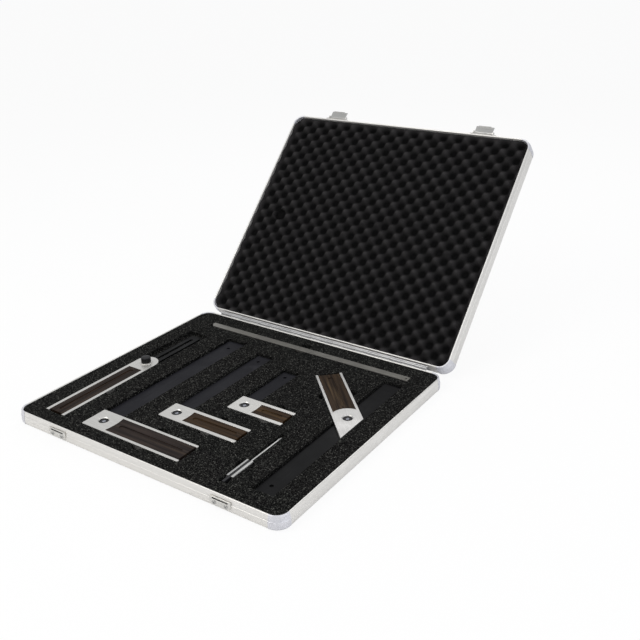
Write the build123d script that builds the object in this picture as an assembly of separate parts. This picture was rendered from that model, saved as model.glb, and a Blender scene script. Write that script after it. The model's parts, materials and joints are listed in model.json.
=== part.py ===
"""Square set case: a slim aluminium case with a foam tray of seven marking-out tools.

Run from this folder, the file writes one STEP solid or group per node into parts.
Sizes are millimetres. X runs to the right, Y to the back and Z up, from the middle of the underside.
Places on the tray are measured from the left and front edges of the open rim, and centred by tray().
"""

import os
from collections import namedtuple
from math import cos, radians, sin, sqrt

from build123d import *

os.makedirs("parts", exist_ok=True)

# Case
base_height = 20.0
lid_height = 27.5
rim_setback = 1.5
rim_gap = 0.3
corner_radius = 18.0
corner_proud = 0.35
edge_radius = 5.0
wall_inset = 3.8
shoulder_drop = 7.0
flange_inset = 9.0
flange_thickness = 1.6
panel_thickness = 1.6
lid_open_angle = 134.2

# Clearances: a fit is a running or seated gap, a foam gap keeps soft pieces off hard ones
fit = 0.05
foam_gap = 0.3
pocket_gap = 1.0

# Piano hinge
hinge_end_gap = 12.0
knuckle_count = 19
knuckle_radius = 2.2
pin_radius = 1.2
hinge_back = 3.7
leaf_thickness = 1.2
leaf_height = 15.0
leaf_gap = 0.1
rivet_radius = 1.5
rivet_head_radius = 2.6
rivet_head_height = 0.9
hinge_rivet_count = 10

# Latches
latch_from_side = 84.0
plate_thickness = 1.2
strike_width = 31.0
strike_top = 4.0
strike_bottom = 16.0
strike_corner = 7.0
slot_width = 23.0
slot_top = 4.8
slot_bottom = 7.6
screw_spread = 17.0
screw_drop = 11.5
screw_head_radius = 2.6
bracket_width = 48.0
bracket_low = 2.5
bracket_high = 15.0
ear_thickness = 1.8
ear_radius = 3.0
lever_width = 30.0
lever_length = 15.0
lever_axis_out = 3.7
lever_axis_up = 5.0
lever_pin_radius = 1.0
barrel_radius = 2.1
hook_drop = 10.6
hook_reach = 3.2
latch_rivet_out = 21.3
latch_rivet_up = 9.5

# Foam tray and tools
foam_drop = 0.8
tool_drop = 0.6
stock_thickness = 10.0
blade_thickness = 2.0
wood_recess = 0.2
groove_width = 7.0
groove_depth = 1.0
stud_radius = 3.0
stud_head_radius = 3.8
stud_head_height = 1.1
recess_radius = 6.25
recess_depth = 1.7
ring_radius = 7.5
stud_shift = 1.5
wood_arc = 21.0
wood_end_gap = 2.5
hang_hole_radius = 2.5
ear_hole_radius = 2.6

# Tray: the tools are laid out from its left and front edges, and the case is made round them
tray_margin_left = 32.0
tray_margin_front = 23.0
tray_margin_right = 33.6
tray_margin_back = 30.0
bevel_side_gap = 34.5
blade_gap = 35.25
row_gap = 28.25
knife_side_gap = 40.5
mitre_side_gap = 31.9
ruler_gap = 24.0

# Finger notches: how wide, and how far beyond the tool they reach
notch_width = 17.0
notch_reach = 8.0

# Try squares: each blade stands in its stock a little way from the stock's left end
square_blade_inset = 2.0
slot_shoulder = 3.0
Square = namedtuple(
    "Square", "name left front length width rail blade_width blade_reach hole_from_end notch_along"
)


def next_square(before, name, length, width, rail, blade_width, blade_reach, hole_from_end, notch_along):
    """A square laid to the right of the last one's blade and behind its stock."""
    left = before.left + square_blade_inset + before.blade_width + blade_gap
    front = before.front + before.width + row_gap
    return Square(name, left, front, length, width, rail, blade_width, blade_reach, hole_from_end, notch_along)


bevel_width = 35.0
large_left = tray_margin_left + bevel_width + bevel_side_gap
large = Square("large_square", large_left, tray_margin_front, 166.0, 39.5, 4.5, 32.0, 254.5, 21.0, 101.5)
medium = next_square(large, "medium_square", 127.5, 34.5, 5.7, 27.0, 175.0, 16.0, 79.75)
small = next_square(medium, "small_square", 87.5, 34.5, 6.0, 24.5, 90.0, 13.0, 61.0)
squares = [large, medium, small]

# Marking knife
knife_tail = 12.0
knife_reach = 64.5
knife_bevel_length = 11.5
knife_shank_radius = 2.0
handle_length = 38.0
handle_width = 10.5
handle_height = 8.0
core_width = 3.6
knife_notch_radius = 11.0
knife_notch_back = 10.0
knife_x = medium.left + medium.length + knife_side_gap
core_tail_y = tray_margin_front - 1.0
handle_front = core_tail_y + knife_tail
handle_back = handle_front + handle_length
knife_tip_y = handle_back + knife_reach
knife_notch_y = handle_back - knife_notch_back

# Straightedge
ruler_width = 11.0
ruler_thickness = 4.0
ruler_hole_radius = 1.5
ruler_hole_inset = 4.5
ruler_front = large.front + large.width + large.blade_reach + ruler_gap
ruler_back = ruler_front + ruler_width

# Mitre square: its stock lies at 45 degrees, counted from the low corner at the head
mitre_length = 167.7
mitre_width = 38.0
mitre_rail = 3.5
mitre_hole_along = 44.8
mitre_wood_arc = 24.0
mitre_blade_width = 27.5
mitre_notch_along = 108.0
mitre_corner_x = knife_x + handle_width / 2 + mitre_side_gap + mitre_blade_width
mitre_blade_low = tray_margin_front + 8.0
mitre_blade_high = ruler_front - 16.0
mitre_corner_y = mitre_blade_low + 138.0
mitre_hang_hole_y = mitre_blade_low + 17.5
ruler_left = tray_margin_left + 12.0
ruler_right = mitre_corner_x - 1.4
ruler_notch_x = (ruler_left + ruler_right) / 2 - 3.0
ruler_notch_front = ruler_front - 7.0
ruler_notch_back = ruler_back + 13.0

# Sliding bevel
bevel_length = 168.0
bevel_rail = 5.2
bevel_blade_width = 18.0
bevel_blade_reach = 112.0
bevel_blade_tail = 18.0
bevel_slot_width = 5.0
bevel_stud_radius = 2.4
washer_radius = 9.5
washer_thickness = 1.0
knob_radius = 6.5
knob_height = 11.0
knob_flutes = 20
bevel_notch_right = 10.0
bevel_notch_left = 2.0
relief_width = 17.0
relief_depth = 13.0
bevel_x = tray_margin_left + bevel_width / 2
bevel_front = tray_margin_front
bevel_head_y = bevel_front + bevel_length
bevel_wood_end = bevel_head_y - 21.7
bevel_blade_low = bevel_head_y - bevel_blade_tail
bevel_blade_high = bevel_head_y + bevel_blade_reach
bevel_pocket_end = bevel_blade_high + 4.0
bevel_notch_y = bevel_front + 81.0

# Egg-crate lining of the lid
egg_pitch = 26.3
egg_cell = 12.6
egg_depth = 9.0
egg_drop = 2.5
egg_first_x = 14.0
egg_first_from_hinge = 286.3

# Sizes, heights and planes worked out from the sizes above: the rim is where base and lid meet
rim_width = mitre_corner_x + tray_margin_right
rim_depth = ruler_back + tray_margin_back
case_width = rim_width + 2 * rim_setback
case_depth = rim_depth + 2 * rim_setback
hinge_length = case_width - 2 * corner_radius - 2 * hinge_end_gap
hinge_rivet_pitch = hinge_length / hinge_rivet_count
latch_offset = case_width / 2 - latch_from_side
foam_bottom = panel_thickness + flange_thickness + foam_gap
foam_top = base_height - foam_drop
tool_top = base_height - tool_drop
stock_bottom = tool_top - stock_thickness
stock_middle = tool_top - stock_thickness / 2
blade_bottom = stock_middle - blade_thickness / 2
blade_top = stock_middle + blade_thickness / 2
hinge_y = case_depth / 2 + hinge_back
front_y = -case_depth / 2
lid_rim = base_height + rim_gap
lid_top = lid_rim + lid_height
lever_y = front_y - lever_axis_out
lever_z = lid_rim + lever_axis_up


def tray(x, y):
    """Turn a place measured from the left and front rim edges into a centred one."""
    return (x - rim_width / 2, y - rim_depth / 2)


def block(x0, x1, y0, y1, z0, z1):
    """A box between two corners, in centred coordinates."""
    middle = Pos((x0 + x1) / 2, (y0 + y1) / 2, (z0 + z1) / 2)
    return middle * Box(abs(x1 - x0), abs(y1 - y0), abs(z1 - z0))


def tray_block(x0, x1, y0, y1, z0, z1):
    """A box whose sides are measured on the tray."""
    left, front = tray(x0, y0)
    right, back = tray(x1, y1)
    return block(left, right, front, back, z0, z1)


def prism(outline, z0, z1):
    """Raise a flat outline between two heights."""
    return extrude(Pos(0, 0, z0) * outline, amount=z1 - z0)


def rod(x, y, z0, z1, radius):
    """A vertical cylinder at a centred place."""
    return Pos(x, y, (z0 + z1) / 2) * Cylinder(radius, z1 - z0)


def rod_along_x(x0, x1, y, z, radius):
    """A cylinder along X."""
    return Pos((x0 + x1) / 2, y, z) * Rot(0, 90, 0) * Cylinder(radius, x1 - x0)


def rod_along_y(x, y0, y1, z, radius):
    """A cylinder along Y."""
    return Pos(x, (y0 + y1) / 2, z) * Rot(90, 0, 0) * Cylinder(radius, y1 - y0)


def open_lid(piece):
    """Swing a piece of the closed lid back about the hinge pin."""
    return Pos(0, hinge_y, base_height) * Rot(-lid_open_angle, 0, 0) * Pos(0, -hinge_y, -base_height) * piece


def save(name, shape):
    """Write one node."""
    solids = shape.solids()
    result = solids[0] if len(solids) == 1 else Compound(children=list(solids))
    export_step(result, f"parts/{name}.step")
    print(name, len(solids))


# Case frames

def frame_section(height, proud=0.0):
    """The extrusion's section: x is the distance inward from the widest face, y the height."""
    shoulder = height - shoulder_drop
    out = -proud
    rim_out = rim_setback - proud
    bend = edge_radius * (1 - sqrt(0.5))
    with BuildSketch() as sketch:
        with BuildLine():
            ThreePointArc((edge_radius, 0), (out + bend, bend), (out, edge_radius))
            Polyline(
                (out, edge_radius),
                (out, shoulder - 0.4),
                (out + 0.5, shoulder + 0.3),
                (rim_out, height - 0.5),
                (rim_out + 0.5, height),
                (wall_inset, height),
                (wall_inset, panel_thickness + flange_thickness),
                (flange_inset, panel_thickness + flange_thickness),
                (flange_inset, panel_thickness),
                (edge_radius, panel_thickness),
                (edge_radius, 0),
            )
        make_face()
    return sketch.sketch


def frame_side(height, length):
    """One straight extrusion standing on the ground, its widest face on x = 0."""
    return extrude(Plane.XZ * frame_section(height), amount=length / 2, both=True)


def frame_corner(height):
    """One corner casting: the section turned a quarter about the corner's centre."""
    outline = Plane.XZ * Pos(-corner_radius, 0) * frame_section(height, corner_proud)
    return revolve(outline, axis=Axis.Z, revolution_arc=90)


def frame_pieces(height):
    """Four sides and four corners of one case half, standing on the ground."""
    side_x = case_width / 2
    side_y = case_depth / 2
    long_side = frame_side(height, case_width - 2 * corner_radius - 2 * fit)
    short_side = frame_side(height, case_depth - 2 * corner_radius - 2 * fit)
    pieces = {
        "frame_left": Pos(-side_x, 0, 0) * short_side,
        "frame_right": Pos(side_x, 0, 0) * Rot(0, 0, 180) * short_side,
        "frame_front": Pos(0, -side_y, 0) * Rot(0, 0, 90) * long_side,
        "frame_back": Pos(0, side_y, 0) * Rot(0, 0, -90) * long_side,
    }
    in_x = side_x - corner_radius
    in_y = side_y - corner_radius
    corner = frame_corner(height)
    pieces["corner_front_left"] = Pos(-in_x, -in_y, 0) * corner
    pieces["corner_front_right"] = Pos(in_x, -in_y, 0) * Rot(0, 0, 90) * corner
    pieces["corner_back_right"] = Pos(in_x, in_y, 0) * Rot(0, 0, 180) * corner
    pieces["corner_back_left"] = Pos(-in_x, in_y, 0) * Rot(0, 0, 270) * corner
    return pieces


def panel():
    """The flat panel of one case half, seated under the frame's flange."""
    inset = edge_radius + fit
    outline = RectangleRounded(case_width - 2 * inset, case_depth - 2 * inset, corner_radius - inset)
    return prism(outline, 0, panel_thickness)


def foam_block(bottom, top):
    """A foam slab that fits inside a frame."""
    inset = wall_inset + foam_gap
    outline = RectangleRounded(case_width - 2 * inset, case_depth - 2 * inset, corner_radius - inset)
    return prism(outline, bottom, top)


def to_lid(piece):
    """Turn a case half over and set it on the base's rim."""
    return Pos(0, 0, lid_top) * Rot(180, 0, 0) * piece


# Hinge

def hinge_leaf(side):
    """One leaf with its knuckles: side is -1 for the base and 1 for the lid."""
    pitch = hinge_length / knuckle_count
    inner = case_depth / 2 + leaf_gap
    near = base_height + side * (pin_radius + 2 * fit)
    far = base_height + side * leaf_height
    low, high = sorted((near, far))
    leaf = block(-hinge_length / 2, hinge_length / 2, inner, inner + leaf_thickness, low, high)
    web_low, web_high = sorted((near, base_height + side * (knuckle_radius - fit)))
    start = 0 if side < 0 else 1
    for number in range(start, knuckle_count, 2):
        left = -hinge_length / 2 + number * pitch + 3 * fit
        right = left + pitch - 6 * fit
        leaf += rod_along_x(left, right, hinge_y, base_height, knuckle_radius)
        leaf += block(left, right, inner, hinge_y, web_low, web_high)
    leaf -= rod_along_x(-hinge_length / 2 - 1, hinge_length / 2 + 1, hinge_y, base_height, pin_radius + fit)
    for x in hinge_rivet_places():
        leaf -= rod_along_y(x, inner - 1, inner + 3, hinge_rivet_height(side), rivet_radius + fit)
    return leaf


def hinge_rivet_places():
    """Where the hinge rivets stand along X."""
    first = -(hinge_rivet_count - 1) / 2 * hinge_rivet_pitch
    return [first + number * hinge_rivet_pitch for number in range(hinge_rivet_count)]


def hinge_rivet_height(side):
    """The height of one row of hinge rivets, with the lid closed."""
    return base_height + side * (leaf_height - 4.5)


def rivet_from_face(x, face_y, z, outward, head_at, shank_end):
    """A domed rivet through a wall: outward is -1 to the front or 1 to the back."""
    base = face_y + outward * head_at
    tip = face_y - outward * shank_end
    shank = rod_along_y(x, min(base, tip), max(base, tip), z, rivet_radius)
    dome_radius = (rivet_head_radius ** 2 + rivet_head_height ** 2) / (2 * rivet_head_height)
    dome = Pos(x, base - outward * (dome_radius - rivet_head_height), z) * Sphere(dome_radius)
    half = block(x - 9, x + 9, base, base + outward * 9, z - 9, z + 9)
    return shank + (dome & half)


def hinge_rivets(side):
    """One row of rivets through a leaf and its frame wall."""
    row = []
    for x in hinge_rivet_places():
        row.append(
            rivet_from_face(
                x, case_depth / 2, hinge_rivet_height(side), 1, leaf_gap + leaf_thickness, wall_inset - fit
            )
        )
    return Compound(children=row)


def drill_back_wall(wall, side):
    """Holes for one row of hinge rivets."""
    for x in hinge_rivet_places():
        wall -= rod_along_y(
            x, case_depth / 2 - 7, case_depth / 2 + 1, hinge_rivet_height(side), rivet_radius + fit
        )
    return wall


def hinge_pin():
    """The pin, as long as the hinge."""
    return rod_along_x(-hinge_length / 2, hinge_length / 2, hinge_y, base_height, pin_radius)


# Latches

def strike_plate(x):
    """A U-shaped catch plate with a slot for the latch hook and two screw holes."""
    top = base_height - strike_top
    bottom = base_height - strike_bottom
    half = strike_width / 2
    outline = Rectangle(strike_width, top - bottom)
    low_corners = outline.vertices().sort_by(Axis.Y)[:2]
    outline = fillet(low_corners, strike_corner)
    top_corners = outline.vertices().sort_by(Axis.Y)[-2:]
    outline = fillet(top_corners, 1.0)
    plate = extrude(Plane.XZ * outline, amount=plate_thickness)
    plate = Pos(x, front_y, (top + bottom) / 2) * plate
    plate -= block(
        x - slot_width / 2, x + slot_width / 2, front_y - 9, front_y + 9,
        base_height - slot_bottom, base_height - slot_top,
    )
    for side in (-1, 1):
        screw_x = x + side * screw_spread / 2
        plate -= rod_along_y(screw_x, front_y - 9, front_y + 9, base_height - screw_drop, rivet_radius + fit)
    lip = block(
        x - half + 2, x + half - 2, front_y - plate_thickness - 0.6, front_y - plate_thickness,
        base_height - slot_top, top,
    )
    return plate + lip


def strike_screw(x):
    """A countersunk-looking screw: low head, crossed drive, shank through the wall."""
    z = base_height - screw_drop
    face = front_y - plate_thickness
    screw = rod_along_y(x, face, front_y + wall_inset - fit, z, rivet_radius)
    head = rod_along_y(x, face - 0.9, face, z, screw_head_radius)
    head = chamfer(head.edges().sort_by(Axis.Y)[0], 0.5)
    screw += head
    screw -= block(x - 1.5, x + 1.5, face - 1.0, face - 0.4, z - 0.3, z + 0.3)
    screw -= block(x - 0.3, x + 0.3, face - 1.0, face - 0.4, z - 1.5, z + 1.5)
    return screw


def strike_screws():
    """All four strike plate screws."""
    screws = []
    for x in (-latch_offset, latch_offset):
        for side in (-1, 1):
            screws.append(strike_screw(x + side * screw_spread / 2))
    return Compound(children=screws)


def work_front_wall(wall):
    """Screw holes and a hook window behind each strike plate."""
    for x in (-latch_offset, latch_offset):
        wall -= block(
            x - slot_width / 2, x + slot_width / 2, front_y - 1, front_y + 2.4,
            base_height - slot_bottom, base_height - slot_top,
        )
        for side in (-1, 1):
            screw_x = x + side * screw_spread / 2
            wall -= rod_along_y(screw_x, front_y - 1, front_y + 7, base_height - screw_drop, rivet_radius + fit)
    return wall


def latch_bracket(x):
    """A riveted plate with sloping ends and two ears that hold the latch pin."""
    half = bracket_width / 2
    ear_inner = lever_width / 2 + 0.5
    low = lid_rim + bracket_low
    high = lid_rim + bracket_high
    outline = Polyline(
        (-half, low + 4), (-half + 3, low), (half - 3, low), (half, low + 4),
        (half, high - 5), (half - 5, high), (-half + 5, high), (-half, high - 5), (-half, low + 4),
    )
    plate = extrude(Plane.XZ * make_face(outline), amount=plate_thickness)
    bracket = Pos(x, front_y, 0) * plate
    for side in (-1, 1):
        inner = x + side * ear_inner
        outer = inner + side * ear_thickness
        left, right = sorted((inner, outer))
        bracket += rod_along_x(left, right, lever_y, lever_z, ear_radius)
        bracket += block(left, right, lever_y, front_y, lever_z - ear_radius + 0.6, lever_z + ear_radius)
        bracket += block(left, right, front_y - 2.8, front_y, lever_z, high - 2)
        bracket -= rod_along_y(
            x + side * latch_rivet_out, front_y - 9, front_y + 9, lid_rim + latch_rivet_up, rivet_radius + fit
        )
    bracket -= rod_along_x(x - half, x + half, lever_y, lever_z, lever_pin_radius + fit)
    return bracket


def latch_lever(x):
    """The latch flap in its closed place: a rolled barrel, a bent plate, a hook and a finger curl."""
    half = lever_width / 2
    lever = rod_along_x(x - half, x + half, lever_y, lever_z, barrel_radius)
    plate_half = plate_thickness / 2
    end_z = lever_z - lever_length
    lever += block(x - half, x + half, lever_y - plate_half, lever_y + plate_half, end_z, lever_z)
    hook_z = lever_z - hook_drop
    hook_half = slot_width / 2 - 1
    lever += block(
        x - hook_half, x + hook_half, lever_y, lever_y + hook_reach, hook_z - 0.5, hook_z + 0.5
    )
    lever += rod_along_x(x - half, x + half, lever_y - 0.6, end_z, plate_thickness)
    lever -= rod_along_x(x - half - 1, x + half + 1, lever_y, lever_z, lever_pin_radius + fit)
    return lever


def open_lever(piece):
    """Swing a closed lever up until it stands straight out of the lid's front wall."""
    return Pos(0, lever_y, lever_z) * Rot(-90, 0, 0) * Pos(0, -lever_y, -lever_z) * piece


def latch_pins():
    """The two pins of the latches."""
    reach = lever_width / 2 + 0.5 + ear_thickness
    pins = []
    for x in (-latch_offset, latch_offset):
        pins.append(rod_along_x(x - reach, x + reach, lever_y, lever_z, lever_pin_radius))
    return Compound(children=pins)


def latch_rivets():
    """Two domed rivets through each latch bracket and the lid's front wall."""
    rivets = []
    for x in (-latch_offset, latch_offset):
        for side in (-1, 1):
            place = x + side * latch_rivet_out
            height = lid_rim + latch_rivet_up
            rivets.append(rivet_from_face(place, front_y, height, -1, plate_thickness, wall_inset - fit))
    return Compound(children=rivets)


def drill_lid_front(wall):
    """Holes for the latch rivets."""
    for x in (-latch_offset, latch_offset):
        for side in (-1, 1):
            wall -= rod_along_y(
                x + side * latch_rivet_out, front_y - 1, front_y + 7, lid_rim + latch_rivet_up,
                rivet_radius + fit,
            )
    return wall


# Tools

def stud_cuts(x, y):
    """What a blade stud takes out of a stock: a through hole and a ringed recess on each face."""
    cuts = rod(x, y, stock_bottom - 1, tool_top + 1, stud_radius + fit)
    cuts += rod(x, y, tool_top - recess_depth, tool_top + 1, recess_radius)
    cuts += rod(x, y, stock_bottom - 1, stock_bottom + recess_depth, recess_radius)
    rise = ring_radius - recess_radius
    ring = Cone(recess_radius, ring_radius, rise)
    cuts += Pos(x, y, tool_top - rise / 2) * ring
    cuts += Pos(x, y, stock_bottom + rise / 2) * Rot(180, 0, 0) * ring
    return cuts


def stud(x, y):
    """A blade stud with a low dome in each recess."""
    low = stock_bottom + recess_depth
    high = tool_top - recess_depth
    piece = rod(x, y, low, high, stud_radius)
    dome_radius = (stud_head_radius ** 2 + stud_head_height ** 2) / (2 * stud_head_height)
    ball = Sphere(dome_radius)
    top_half = block(x - 9, x + 9, y - 9, y + 9, high, high + 9)
    low_half = block(x - 9, x + 9, y - 9, y + 9, low - 9, low)
    piece += (Pos(x, y, high + stud_head_height - dome_radius) * ball) & top_half
    piece += (Pos(x, y, low - stud_head_height + dome_radius) * ball) & low_half
    return piece


def grooved(piece, outline):
    """Cut the infill's long groove into both faces."""
    piece -= prism(outline, tool_top - wood_recess - groove_depth, tool_top + 1)
    piece -= prism(outline, stock_bottom - 1, stock_bottom + wood_recess + groove_depth)
    return piece


def square_pieces(s):
    """Stock, blade, infill and stud of one try square."""
    left, front = tray(s.left, s.front)
    right = left + s.length
    back = front + s.width
    middle = (front + back) / 2
    blade_left = left + square_blade_inset
    blade_right = blade_left + s.blade_width
    blade_end = back + s.blade_reach
    blade_front = front + slot_shoulder
    stud_x = (blade_left + blade_right) / 2 + stud_shift

    def wood(inset, end):
        """The space between the rails up to an end, drawn smaller by an inset."""
        strip = Pos((stud_x + end) / 2, middle) * Rectangle(end - stud_x, s.width - 2 * s.rail - 2 * inset)
        return strip - Pos(stud_x, middle) * Circle(wood_arc + inset)

    body = Pos((left + right) / 2, middle) * RectangleRounded(s.length, s.width, 1.5)
    stock = prism(body, stock_bottom, tool_top)
    stock -= prism(wood(0, right + 1), stock_bottom - 1, tool_top + 1)
    stock -= block(
        blade_left - fit, blade_right + fit, blade_front - fit, back + 1, blade_bottom - fit, blade_top + fit
    )
    stock -= stud_cuts(stud_x, middle)
    blade = block(blade_left, blade_right, blade_front, blade_end, blade_bottom, blade_top)
    blade -= rod(stud_x, middle, blade_bottom - 1, blade_top + 1, stud_radius + fit)
    hang_x = (blade_left + blade_right) / 2 - stud_shift
    blade -= rod(hang_x, blade_end - s.hole_from_end, blade_bottom - 1, blade_top + 1, hang_hole_radius)
    infill = prism(wood(fit, right - wood_end_gap), stock_bottom + wood_recess, tool_top - wood_recess)
    groove_start = stud_x + wood_arc + 8
    groove_end = right - wood_end_gap - 8
    groove = Pos((groove_start + groove_end) / 2, middle) * SlotOverall(groove_end - groove_start, groove_width)
    infill = grooved(infill, groove)
    return {
        f"{s.name}_stock": stock,
        f"{s.name}_blade": blade,
        f"{s.name}_infill": infill,
        f"{s.name}_stud": stud(stud_x, middle),
    }


def mitre_point(along, across):
    """A place on the mitre stock, from its low corner at the head."""
    x = mitre_corner_x + (across - along) * sqrt(0.5)
    y = mitre_corner_y + (across + along) * sqrt(0.5)
    return tray(x, y)


def mitre_outline(grow=0.0):
    """The stock's outline: square at the tail, cut along the blade at the head."""
    head = grow * (1 + sqrt(2))
    return make_face(
        Polyline(
            mitre_point(-head, -grow),
            mitre_point(mitre_length + grow, -grow),
            mitre_point(mitre_length + grow, mitre_width + grow),
            mitre_point(mitre_width + grow - grow * sqrt(2), mitre_width + grow),
            mitre_point(-head, -grow),
        )
    )


def mitre_wood(inset, end):
    """The space between the rails up to an end, drawn smaller by an inset."""
    low = mitre_rail + inset
    high = mitre_width - mitre_rail - inset
    strip = make_face(
        Polyline(
            mitre_point(mitre_hole_along, low),
            mitre_point(end, low),
            mitre_point(end, high),
            mitre_point(mitre_hole_along, high),
            mitre_point(mitre_hole_along, low),
        )
    )
    hole_x, hole_y = mitre_point(mitre_hole_along, mitre_width / 2)
    return strip - Pos(hole_x, hole_y) * Circle(mitre_wood_arc + inset)


def mitre_pieces():
    """Stock, blade, infill and stud of the mitre square."""
    stud_x, stud_y = mitre_point(mitre_hole_along, mitre_width / 2)
    blade_right = mitre_corner_x
    blade_left = blade_right - mitre_blade_width
    slot = tray_block(
        blade_left - fit, blade_right + 1, mitre_blade_low - 1, mitre_blade_high + 1,
        blade_bottom - fit, blade_top + fit,
    )
    stock = prism(mitre_outline(), stock_bottom, tool_top)
    stock -= prism(mitre_wood(0, mitre_length + 1), stock_bottom - 1, tool_top + 1)
    stock -= slot
    stock -= stud_cuts(stud_x, stud_y)
    blade = tray_block(blade_left, blade_right, mitre_blade_low, mitre_blade_high, blade_bottom, blade_top)
    blade -= rod(stud_x, stud_y, blade_bottom - 1, blade_top + 1, stud_radius + fit)
    hang_x, hang_y = tray((blade_left + blade_right) / 2 - stud_shift, mitre_hang_hole_y)
    blade -= rod(hang_x, hang_y, blade_bottom - 1, blade_top + 1, hang_hole_radius)
    infill = prism(mitre_wood(fit, mitre_length - wood_end_gap), stock_bottom + wood_recess, tool_top - wood_recess)
    infill -= slot
    start = mitre_hole_along + mitre_wood_arc + 8
    end = mitre_length - wood_end_gap - 8
    groove_x, groove_y = mitre_point((start + end) / 2, mitre_width / 2)
    groove = Pos(groove_x, groove_y) * Rot(0, 0, 135) * SlotOverall(end - start, groove_width)
    infill = grooved(infill, groove)
    return {
        "mitre_square_stock": stock,
        "mitre_square_blade": blade,
        "mitre_square_infill": infill,
        "mitre_square_stud": stud(stud_x, stud_y),
    }


def bevel_outline(grow=0.0):
    """The bevel stock's outline with its half-round head."""
    x, front = tray(bevel_x, bevel_front)
    head_y = tray(0, bevel_head_y)[1]
    half = bevel_width / 2 + grow
    body = Pos(x, (front - grow + head_y) / 2) * Rectangle(2 * half, head_y - front + grow)
    return body + Pos(x, head_y) * Circle(half)


def bevel_pieces():
    """Stock, blade, infill, washer and knob of the sliding bevel."""
    x, front = tray(bevel_x, bevel_front)
    head_y = tray(0, bevel_head_y)[1]
    wood_end = tray(0, bevel_wood_end)[1]
    blade_low = tray(0, bevel_blade_low)[1]
    blade_high = tray(0, bevel_blade_high)[1]
    half = bevel_width / 2
    blade_half = bevel_blade_width / 2
    wood_half = half - bevel_rail
    stock = prism(bevel_outline(), stock_bottom, tool_top)
    stock -= block(x - wood_half, x + wood_half, front - 1, wood_end, stock_bottom - 1, tool_top + 1)
    slot = block(
        x - blade_half - fit, x + blade_half + fit, blade_low - fit, head_y + half + 1,
        blade_bottom - fit, blade_top + fit,
    )
    stock -= slot
    stock -= rod(x, head_y, stock_bottom + 2, tool_top + 1, bevel_stud_radius + fit)
    wood_low = front + wood_end_gap
    infill = block(
        x - wood_half + fit, x + wood_half - fit, wood_low, wood_end - fit,
        stock_bottom + wood_recess, tool_top - wood_recess,
    )
    groove_y = (wood_low + wood_end) / 2
    groove = Pos(x, groove_y) * Rot(0, 0, 90) * SlotOverall(wood_end - wood_low - 12, groove_width)
    infill = grooved(infill, groove)
    outline = Pos(x, (blade_low + blade_high) / 2) * Rectangle(bevel_blade_width, blade_high - blade_low)
    outline = fillet(outline.vertices().sort_by(Axis.Y)[-2:], blade_half - 1)
    slit_low = head_y - bevel_slot_width
    slit_high = blade_high - 12
    slit = Pos(x, (slit_low + slit_high) / 2) * Rot(0, 0, 90) * SlotOverall(slit_high - slit_low, bevel_slot_width)
    blade = prism(outline - slit, blade_bottom, blade_top)
    washer_top = tool_top + washer_thickness
    washer = rod(x, head_y, tool_top, washer_top, washer_radius)
    washer = chamfer(washer.edges().sort_by(Axis.Z)[-1], 0.3)
    washer -= rod(x, head_y, tool_top - 1, washer_top + 1, bevel_stud_radius + fit)
    knob_top = washer_top + knob_height
    knob = rod(x, head_y, washer_top, knob_top, knob_radius)
    knob = chamfer(knob.edges().sort_by(Axis.Z)[-1], 0.8)
    for number in range(knob_flutes):
        angle = radians(360 / knob_flutes * number)
        flute_x = x + (knob_radius + 0.25) * cos(angle)
        flute_y = head_y + (knob_radius + 0.25) * sin(angle)
        knob -= rod(flute_x, flute_y, washer_top + 1.2, knob_top + 1, 0.6)
    knob += rod(x, head_y, stock_bottom + 2 + 2 * fit, washer_top, bevel_stud_radius)
    return {
        "sliding_bevel_stock": stock,
        "sliding_bevel_blade": blade,
        "sliding_bevel_infill": infill,
        "sliding_bevel_washer": washer,
        "sliding_bevel_knob": knob,
    }


def straightedge():
    """A flat bar with one slanted end and a hanging hole."""
    left, front = tray(ruler_left, ruler_front)
    right, back = tray(ruler_right, ruler_back)
    outline = make_face(
        Polyline(
            (left + 5, front), (right, front), (right, back), (left, back), (left, back - 5), (left + 5, front)
        )
    )
    bar = prism(outline, tool_top - ruler_thickness, tool_top)
    hole_x = right - ruler_hole_inset
    bar -= rod(hole_x, (front + back) / 2, tool_top - 9, tool_top + 1, ruler_hole_radius)
    return bar


def knife_pieces():
    """Blade with its shank, the two cheeks as one handle, and the dark core between them."""
    x, low = tray(knife_x, handle_front)
    high = tray(0, handle_back)[1]
    tip = tray(0, knife_tip_y)[1]
    tail = tray(0, core_tail_y)[1]
    middle = tool_top - handle_height / 2
    bottom = tool_top - handle_height
    half = handle_width / 2
    core_half = core_width / 2
    radius = knife_shank_radius
    grind = tip - knife_bevel_length
    side_view = make_face(
        Polyline(
            (high, middle - radius), (grind, middle - radius), (tip, middle - 0.3), (tip, middle + 0.3),
            (grind, middle + radius), (high, middle + radius), (high, middle - radius),
        )
    )
    slab = Pos(x, 0, 0) * extrude(Plane.YZ * side_view, amount=radius, both=True)
    shank = rod_along_y(x, high, tip, middle, radius) & slab
    handle = []
    for side in (-1, 1):
        near = x + side * (core_half + fit)
        far = x + side * half
        cheek = block(near, far, low, high, bottom, tool_top)
        edges = cheek.edges().filter_by(Axis.Y).sort_by(Axis.X)
        outer = edges[:2] if side < 0 else edges[-2:]
        handle.append(fillet(outer, 1.5))
    core = block(x - core_half, x + core_half, tail, high, bottom + 0.4, tool_top - 0.4)
    return {
        "marking_knife_blade": shank,
        "marking_knife_handle": Compound(children=handle),
        "marking_knife_core": core,
    }


# Foam

def notch(x, y0, y1, width=notch_width):
    """A round-ended finger notch along Y, in tray places."""
    place = tray(x, (y0 + y1) / 2)
    return Pos(*place) * Rot(0, 0, 90) * SlotOverall(y1 - y0, width)


def blade_end_ears(left, right, end):
    """Round reliefs at the two corners of a blade pocket's far end."""
    inward = ear_hole_radius * 0.6
    ears = Pos(left + inward, end - inward) * Circle(ear_hole_radius)
    return ears + Pos(right - inward, end - inward) * Circle(ear_hole_radius)


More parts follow.
